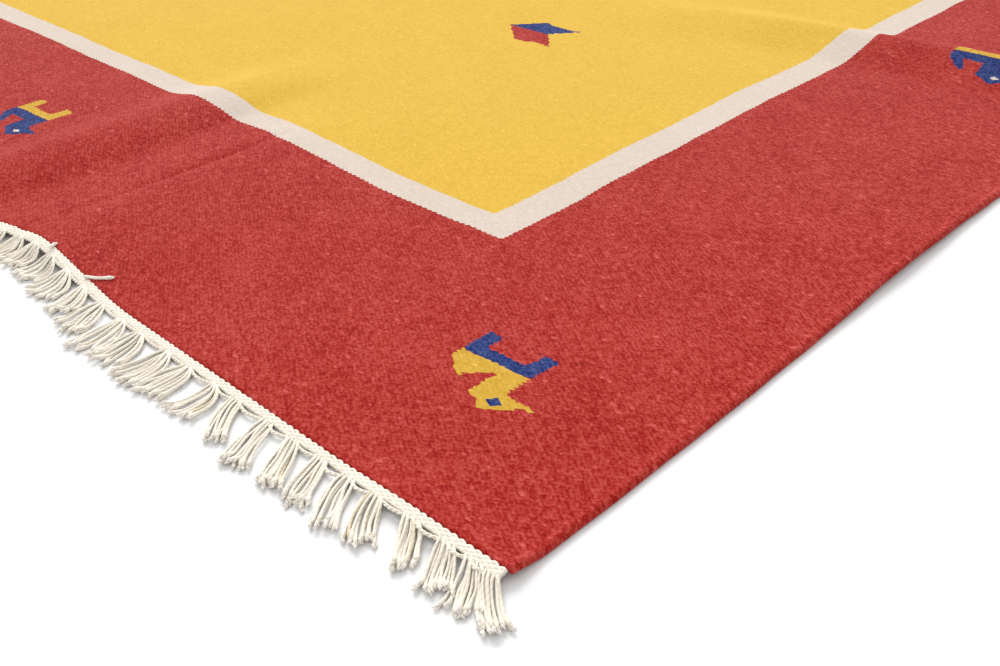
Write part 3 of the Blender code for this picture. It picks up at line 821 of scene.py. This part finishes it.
def yarns(paths, radii, sides):
    """Round yarns as points, quads and corner UVs: a circle carried along each path, with closed ends.

    Point = path + radius * (cos(angle) * side + sin(angle) * up), where side is level and square to the
    path, and up is square to both. UV = (share of the turn, distance along the path). A round of six sides
    is closed by two quads, and one of four by one.
    """
    count, rings = paths.shape[:2]
    along = np.gradient(paths, axis=1)
    along /= np.linalg.norm(along, axis=-1, keepdims=True)
    side = np.cross(along, (0.0, 0.0, 1.0))
    side /= np.linalg.norm(side, axis=-1, keepdims=True)
    up = np.cross(side, along)
    angle = np.linspace(0.0, 2.0 * np.pi, sides, endpoint=False)[:, None]
    circle = np.cos(angle) * side[:, :, None] + np.sin(angle) * up[:, :, None]
    points = (paths[:, :, None] + radii[:, :, None, None] * circle).reshape(-1, 3)
    quads = grid_quads(rings, sides)
    share = np.tile(np.arange(sides) / sides, rings - 1)
    step = np.linalg.norm(np.diff(paths, axis=1), axis=-1)
    distance = np.concatenate([np.zeros((count, 1)), np.cumsum(step, axis=1)], axis=1)
    start = np.repeat(distance[:, :-1], sides, axis=1)
    stop = np.repeat(distance[:, 1:], sides, axis=1)
    left = np.broadcast_to(share, start.shape)
    right = left + 1.0 / sides
    uvs = np.stack([np.stack([left, start], -1), np.stack([right, start], -1),
                    np.stack([right, stop], -1), np.stack([left, stop], -1)], axis=2)
    cap = np.array([(0, 3, 2, 1), (0, 5, 4, 3)]) if sides == 6 else np.array([(0, 3, 2, 1)])
    last = (rings - 1) * sides
    caps = np.concatenate([cap, cap[:, ::-1] + last])
    offset = (np.arange(count) * rings * sides)[:, None, None]
    body = np.concatenate([quads, caps]) + offset
    cap_uvs = np.zeros((count, len(caps), 4, 2))
    cap_uvs[..., 1] = np.where(caps[:, 0] >= last, 1.0, 0.0)[None, :, None] * distance[:, -1:, None]
    return points, body.reshape(-1, 4), np.concatenate([uvs, cap_uvs], axis=1)


def join_yarns(groups):
    """One set of points, quads, corner UVs and tones from several groups (paths, radii, sides, tones)."""
    points, quads, uvs, tones, count = [], [], [], [], 0
    for paths, radii, sides, tone in groups:
        own_points, own_quads, own_uvs = yarns(paths, radii, sides)
        points.append(own_points)
        quads.append(own_quads + count)
        uvs.append(own_uvs.reshape(-1, 4, 2))
        tones.append(np.repeat(tone, len(own_quads) // len(paths)))
        count += len(own_points)
    return np.concatenate(points), np.concatenate(quads), np.concatenate(uvs), np.concatenate(tones)


def end_line(x, end, sizes):
    """Y and lift of the cloth's edge at x, at the end -1 or 1."""
    flat_y = end * sizes.length / 2.0
    return flat_y + bow(x, flat_y), lift(x, flat_y)


def heading_yarns(end, roots, sizes, draw):
    """The web of the heading and the twined cord that closes it, as yarns along X.

    Web: picks side by side, each swelling a little where it goes over a warp, by a cosine of x, and in turn
    with its neighbour. The inner one also swings into the wool. Cord: two yarns turning round a line, half
    a turn apart. Between two bundles the line stands off and up by a squared sine, here more and there less,
    and most near the plus X corner.
    """
    half = sizes.width / 2.0 - HEADING_INSET
    x = np.linspace(-half, half, int(2.0 * half / HEADING_STEP))
    edge_y, edge_z = end_line(x, end, sizes)
    between = np.interp(x, np.sort(roots), np.arange(len(roots)), left=0.0, right=len(roots) - 1.0)
    loose = draw.uniform(0.0, 1.0, len(roots) + 1)[np.floor(between).astype(int)]
    slack = np.sin(np.pi * between) ** 2 * (0.3 + 0.7 * loose) * np.interp(x, *CORNER_SLACK)
    warp = np.pi * x / sizes.warp_pitch
    places = np.linspace(-half, half, WANDER_PLACES)
    wander = [np.interp(x, places, draw.uniform(-1.0, 1.0, WANDER_PLACES)) for _ in range(6)]
    paths, radii = [], []
    for pick, out in enumerate(WEB_OUT):
        swell = np.cos(warp + np.pi * pick + 0.5 * wander[4])
        teeth = (WEB_TEETH + WEB_TEETH_JITTER * wander[5]) * swell if pick == 0 else 0.0
        sway = 0.00016 * wander[pick] - teeth
        rise = WEB_RISE - WEB_FALL * pick + 0.00010 * swell + 0.00008 * wander[(pick + 2) % 4]
        paths.append(np.stack([x, edge_y + end * (GAP + out + sway), edge_z + rise], -1))
        radii.append(WEB_RADIUS * (1.0 + 0.07 * swell + 0.07 * wander[pick]))
    for ply in (0.0, np.pi):
        turn = 2.0 * np.pi * x / CORD_TURN + ply + 0.7 * wander[4]
        out = CORD_OUT + SLACK_OUT * slack + CORD_SWING * np.cos(turn)
        rise = CORD_RISE + SLACK_RISE * slack + CORD_SWING * np.sin(turn)
        paths.append(np.stack([x, edge_y + end * (GAP + out), edge_z + rise], -1))
        radii.append(CORD_RADIUS * (1.0 + 0.10 * wander[5]))
    tone = draw.uniform(0.16, 0.28, len(paths))
    return np.array(paths), np.array(radii), STRAND_SIDES, tone


def turned_aside(heading, angles, rise):
    """Directions: the heading turned level by the angles, (x cos - y sin, x sin + y cos), with that rise."""
    aside_x = heading[..., 0] * np.cos(angles) - heading[..., 1] * np.sin(angles)
    aside_y = heading[..., 0] * np.sin(angles) + heading[..., 1] * np.cos(angles)
    return np.stack([aside_x, aside_y, rise], -1)


def fringe_yarns(end, places, sizes, draw):
    """The warps of each bundle, from under the twined cord to their tips, then the fibres of the frayed tips.

    A strand's tip lies at its own angle and length from the root. A bundle that lies straight out is more
    gathered at its root than one that leans over, and fans out wider. Along a strand (share 0 to 1) x goes
    from the root to the tip as the sum of the fan, which opens at once, the rest of the way, which comes
    later by a power of the share, a bulge towards plus X, and a slight wave. y goes out evenly. z falls from
    the heading to the floor by a smooth step, the upper layer lying on the lower, and no deeper than the
    strand's radius. The last part swings aside and curls up. Fibres: straight lines that leave a tip at
    random angles.
    """
    roots, tips, reaches = places
    count, strands = len(roots), sizes.strands
    share = np.linspace(0.0, 1.0, STRAND_RINGS)[None, None, :]
    shape = (count, strands, 1)
    one = (count, 1, 1)
    radius = sizes.strand / 2.0
    between = np.abs(np.diff(tips))
    near = (np.append(between[0], between) + np.append(between, between[-1])) / 2.0
    straight = np.clip((LEANING - np.abs(tips - roots)) / LEANING_MARGIN, 0.0, 1.0)
    fan = np.minimum(FAN_HALF_WIDTH + FAN_EXTRA * straight, FAN_SHARE * near + FAN_SPARE)[:, None, None]
    fan = fan * draw.uniform(0.88, 1.10, one)
    straight = straight[:, None, None]
    gathered = GATHERED - GATHERED_LESS * straight
    spread = np.linspace(-1.0, 1.0, strands)[None, :, None] + draw.uniform(-0.16, 0.16, shape)
    layer = (np.arange(strands) % 2)[None, :, None]
    reach = reaches[:, None, None] + LONGEST_EXTRA
    sway = (tips - roots)[:, None, None]
    long = np.hypot(reach, sway)
    angle = np.arctan2(sway, reach) + spread * fan / long + draw.uniform(-0.06, 0.06, shape)
    long = long * draw.uniform(0.84, 1.01, shape)
    tip_x, tip_y = long * np.sin(angle), long * np.cos(angle)
    fanned = 1.0 - (1.0 - share) ** 3.2
    swayed = share ** (1.75 - 0.4 * straight)
    fan_x = spread * fan * FAN_AT_ONCE
    bulge = draw.uniform(0.0008, 0.0048, one) + draw.uniform(-0.0008, 0.0008, shape)
    wave = 0.0006 * draw.uniform(-1.0, 1.0, shape) * np.sin(np.pi * share * draw.uniform(1.5, 3.2, shape))
    hook = np.clip((share - HOOK_START) / HOOK_LENGTH, 0.0, 1.0) ** 2
    x = spread * gathered * (1.0 - fanned) + fan_x * fanned + (tip_x - fan_x) * swayed
    x = x + bulge * np.sin(np.pi * share**0.8) + wave + HOOK_ASIDE * draw.uniform(-1.0, 1.0, shape) * hook
    x = roots[:, None, None] + x
    edge_y, edge_z = end_line(roots[:, None, None] + spread * gathered, end, sizes)
    y = edge_y + end * (GAP + ROOT_OUT + (tip_y + HEADING_WIDTH - ROOT_OUT) * share)
    top = edge_z + 0.0008 + layer * 0.0012
    resting = radius * 1.02 + layer * radius * 1.3 * (1.0 - 0.6 * share)
    resting = resting + 0.0006 * draw.uniform(0.0, 1.0, shape)
    fall = soft_step(share / draw.uniform(0.45, 0.75, shape))
    z = top * (1.0 - fall) + resting * fall + HOOK_UP * draw.uniform(0.0, 1.0, shape) ** 2 * hook
    paths = np.stack(np.broadcast_arrays(x, y, z), -1).reshape(-1, STRAND_RINGS, 3)
    girth = np.interp(share[0, 0], *STRAND_GIRTH)
    radii = radius * draw.uniform(0.82, 1.14, (count * strands, 1)) * girth
    paths[..., 2] = np.maximum(paths[..., 2], radii)
    tone = draw.uniform(0.12, 0.30, (count, strands))
    straw = draw.uniform(0.0, 1.0, (count, strands)) > STRAW_CHANCE
    tone = (tone + STRAW_TONE * straw).ravel()

    heading = paths[:, -1] - paths[:, -3]
    heading /= np.linalg.norm(heading, axis=-1, keepdims=True)
    angles = draw.uniform(-FRAY_ANGLE, FRAY_ANGLE, (len(paths), FRAY))
    away = turned_aside(heading[:, None], angles, draw.uniform(-0.3, 0.45, angles.shape))
    far = np.linspace(-0.5, 1.0, 3)[None, None, :, None] * draw.uniform(*FRAY_LENGTHS, (*angles.shape, 1, 1))
    begin = paths[:, -1][:, None, None] + draw.uniform(-0.0006, 0.0006, (*angles.shape, 1, 3))
    fibres = (begin + far * away[:, :, None]).reshape(-1, 3, 3)
    fibres[..., 2] = np.maximum(fibres[..., 2], FRAY_REST)
    fine = np.broadcast_to(FRAY_RADII, fibres.shape[:2])
    return [(paths, radii, STRAND_SIDES, tone), (fibres, fine, FIBRE_SIDES, np.zeros(len(fibres)))]


def loose_yarn(table, sizes, draw):
    """A loose end of warp on the cloth, and the fibres of its frayed tip.

    Its path goes evenly through the table's places and rests on the cloth, with its middle raised by a sine.
    """
    given = np.linspace(0.0, 1.0, len(table))
    share = np.linspace(0.0, 1.0, STRAND_RINGS)
    radius = sizes.strand / 2.0
    x = np.interp(share, given, [place.x for place in table])
    y = end_line(x, -1.0, sizes)[0] + np.interp(share, given, [place.inward for place in table])
    z = lift(x, y) + sizes.thickness + radius * 0.9 + LOOSE_ARCH * np.sin(np.pi * share)
    path = np.stack([x, y, z], -1)
    girth = np.interp(share, *LOOSE_GIRTH)
    heading = path[-1] - path[-3]
    heading /= np.linalg.norm(heading)
    angles = np.linspace(-LOOSE_FRAY_ANGLE, LOOSE_FRAY_ANGLE, LOOSE_FRAY)
    away = turned_aside(heading, angles, draw.uniform(0.0, 0.3, LOOSE_FRAY))
    fibres = path[-1] + np.linspace(-0.4, 1.0, 3)[None, :, None] * away[:, None] * LOOSE_FRAY_LENGTH
    fine = np.broadcast_to(LOOSE_FRAY_RADII, (LOOSE_FRAY, 3))
    strand = (path[None], (radius * girth)[None], STRAND_SIDES, np.array([0.1]))
    return [strand, (fibres, fine, FIBRE_SIDES, np.full(LOOSE_FRAY, 0.05))]


class KILIM_OT_stage(bpy.types.Operator):
    """Set up the camera, the floor and the soft studio light"""
    bl_idname = "kilim.stage"
    bl_label = "Studio"

    def execute(self, context):
        scene = context.scene
        scene.view_settings.view_transform = "Standard"
        pitch, yaw, roll = np.radians(CAMERA_ANGLES)
        forward = np.array([np.sin(yaw) * np.cos(pitch), np.cos(yaw) * np.cos(pitch), -np.sin(pitch)])
        right = np.array([np.cos(yaw), -np.sin(yaw), 0.0])
        down = np.cross(forward, right)
        turned_right = right * np.cos(roll) + down * np.sin(roll)
        turned_down = -right * np.sin(roll) + down * np.cos(roll)
        data = bpy.data.cameras.new("camera")
        data.sensor_width = CAMERA_SENSOR
        data.lens = CAMERA_LENS
        data.clip_start = 0.01
        camera = bpy.data.objects.new("camera", data)
        matrix = np.eye(4)
        matrix[:3, :3] = np.stack([turned_right, -turned_down, -forward], axis=1)
        matrix[:3, 3] = CAMERA_PLACE
        camera.matrix_world = Matrix(matrix.tolist())
        scene.collection.objects.link(camera)
        scene.camera = camera

        # backdrop paper, plain and matt, so that it shows only the rug's soft shadows
        floor_mesh = bpy.data.meshes.new("floor")
        sides = ((-PAPER_REACH, -PAPER_REACH), (PAPER_REACH, -PAPER_REACH),
                 (PAPER_REACH, PAPER_REACH), (-PAPER_REACH, PAPER_REACH))
        corners = [(x, y, -PAPER_DROP) for x, y in sides]
        floor_mesh.from_pydata(corners, [], [(0, 1, 2, 3)])
        floor = bpy.data.objects.new("floor", floor_mesh)
        scene.collection.objects.link(floor)
        paper, tree, shader = new_material("white_backdrop_paper")
        shader.inputs["Base Color"].default_value = (*linear(PAPER_WHITE), 1.0)
        shader.inputs["Roughness"].default_value = 0.9
        shader.inputs["Specular IOR Level"].default_value = 0.0
        floor_mesh.materials.append(paper)

        world = bpy.data.worlds.new("studio")
        world.use_nodes = True
        sky = world.node_tree.nodes["Background"]
        sky.inputs["Color"].default_value = SKY_COLOUR
        sky.inputs["Strength"].default_value = SKY_STRENGTH
        scene.world = world
        light = bpy.data.lights.new("key_light", "SUN")
        light.energy = SUN_STRENGTH
        light.angle = np.radians(SUN_ANGLE)
        key_light = bpy.data.objects.new("key_light", light)
        back = np.array(SUN_FROM)
        back /= np.linalg.norm(back)
        side = np.cross((0.0, 0.0, 1.0), back)
        side /= np.linalg.norm(side)
        turned = np.eye(4)
        turned[:3, :3] = np.stack([side, np.cross(back, side), back], axis=1)
        turned[:3, 3] = back * SUN_DISTANCE
        key_light.matrix_world = Matrix(turned.tolist())
        scene.collection.objects.link(key_light)
        return {"FINISHED"}


class KILIM_OT_cloth(bpy.types.Operator):
    """Weave the cloth: one closed sheet on the folds of its solid"""
    bl_idname = "kilim.cloth"
    bl_label = "Cloth"

    def execute(self, context):
        sizes = context.scene.kilim_sizes
        side = sizes.width / 2.0
        edge_spans = [(-side, SELVEDGE_FINE - side), (side - SELVEDGE_FINE, side)]
        half = sizes.thickness / 2.0
        columns = rounded_ends(spaced(sizes.width, sizes.cell, fold_spans("Y") + edge_spans), half)
        rows = rounded_ends(spaced(sizes.length, sizes.cell, fold_spans("X")), half)
        v, u = np.meshgrid(rows, columns, indexing="ij")
        x, y, height, thick = cloth_points(u, v, sizes)
        top = np.stack([x, y, height + thick], -1)
        under = np.stack([x, y, height - thick], -1)[:, -2:0:-1]
        ring = np.concatenate([top, under], axis=1)
        ring_u = np.concatenate([u, u[:, -2:0:-1]], axis=1)
        ring_v = np.concatenate([v, v[:, -2:0:-1]], axis=1)
        width = ring.shape[1]
        sides = grid_quads(len(rows), width)[:, ::-1]
        column = np.arange(1, len(columns) - 2)
        opposite = width - column
        first = np.stack([column, opposite, opposite - 1, column + 1], -1)
        tips = np.array([(0, width - 1, 1), (len(columns) - 2, len(columns), len(columns) - 1)])
        last = (len(rows) - 1) * width
        polygons = [sides, first[:, ::-1], first + last, tips[:, ::-1], tips + last]
        flat = np.stack([ring_u.ravel(), ring_v.ravel()], -1)
        uvs = [flat[group] for group in polygons]
        centres = np.concatenate([uv.mean(axis=1) for uv in uvs])
        sites = motif_sites()
        apart = np.linalg.norm(centres[:, None] - sites[None, :, :2], axis=-1)
        nearest = sites[np.argmin(apart, axis=1)]
        material = woven_wool(sizes, context.scene.kilim_colours)
        values = {"motif_site": nearest}
        piece = new_piece("kilim_cloth", ring.reshape(-1, 3), polygons, uvs, material, values)
        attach(piece, "root")
        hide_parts("rug_cloth")
        return {"FINISHED"}


class KILIM_OT_fringes(bpy.types.Operator):
    """Twine both headings and lay out their fringes"""
    bl_idname = "kilim.fringes"
    bl_label = "Headings and fringes"

    def execute(self, context):
        sizes = context.scene.kilim_sizes
        material = cotton_yarn("undyed_cotton_yarn")
        for side, end, bundles, lies, seed in (
            ("front", -1.0, FRONT_BUNDLES, FRONT_LIES, FRONT_SEED),
            ("back", 1.0, BACK_BUNDLES, BACK_LIES, BACK_SEED),
        ):
            draw = np.random.RandomState(seed + 100)
            places = bundle_places(bundles, lies, seed, sizes.width)
            groups = {
                "heading_" + side: [heading_yarns(end, places[0], sizes, draw)],
                "warp_fringe_" + side: fringe_yarns(end, places, sizes, draw),
            }
            if side == "front":
                for table in (LOOSE_WARP, LOOSE_STUB):
                    groups["warp_fringe_front"] += loose_yarn(table, sizes, draw)
            for name, parts in groups.items():
                points, quads, uvs, tones = join_yarns(parts)
                piece = new_piece(name, points, [quads], [uvs], material, {"yarn_tone": tones})
                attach(piece, "root")
                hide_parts("fringe_" + side)
        return {"FINISHED"}


class KILIM_PT_panel(bpy.types.Panel):
    """Sizes, colours and steps of the kilim rug"""
    bl_idname = "KILIM_PT_panel"
    bl_label = "Kilim rug"
    bl_space_type = "VIEW_3D"
    bl_region_type = "UI"
    bl_category = "Kilim rug"

    def draw(self, context):
        for group in (context.scene.kilim_sizes, context.scene.kilim_colours):
            box = self.layout.box()
            for key in group.__annotations__:
                box.prop(group, key)
        for operator in (KILIM_OT_stage, KILIM_OT_cloth, KILIM_OT_fringes):
            self.layout.operator(operator.bl_idname)


CLASSES = (RugSizes, RugColours, KILIM_OT_stage, KILIM_OT_cloth, KILIM_OT_fringes, KILIM_PT_panel)


def register():
    for item in CLASSES:
        bpy.utils.register_class(item)
    bpy.types.Scene.kilim_sizes = bpy.props.PointerProperty(type=RugSizes)
    bpy.types.Scene.kilim_colours = bpy.props.PointerProperty(type=RugColours)


def unregister():
    del bpy.types.Scene.kilim_colours
    del bpy.types.Scene.kilim_sizes
    for item in reversed(CLASSES):
        bpy.utils.unregister_class(item)


def main():
    register()
    bpy.ops.kilim.stage()
    bpy.ops.kilim.cloth()
    bpy.ops.kilim.fringes()


if __name__ == "__main__":
    main()
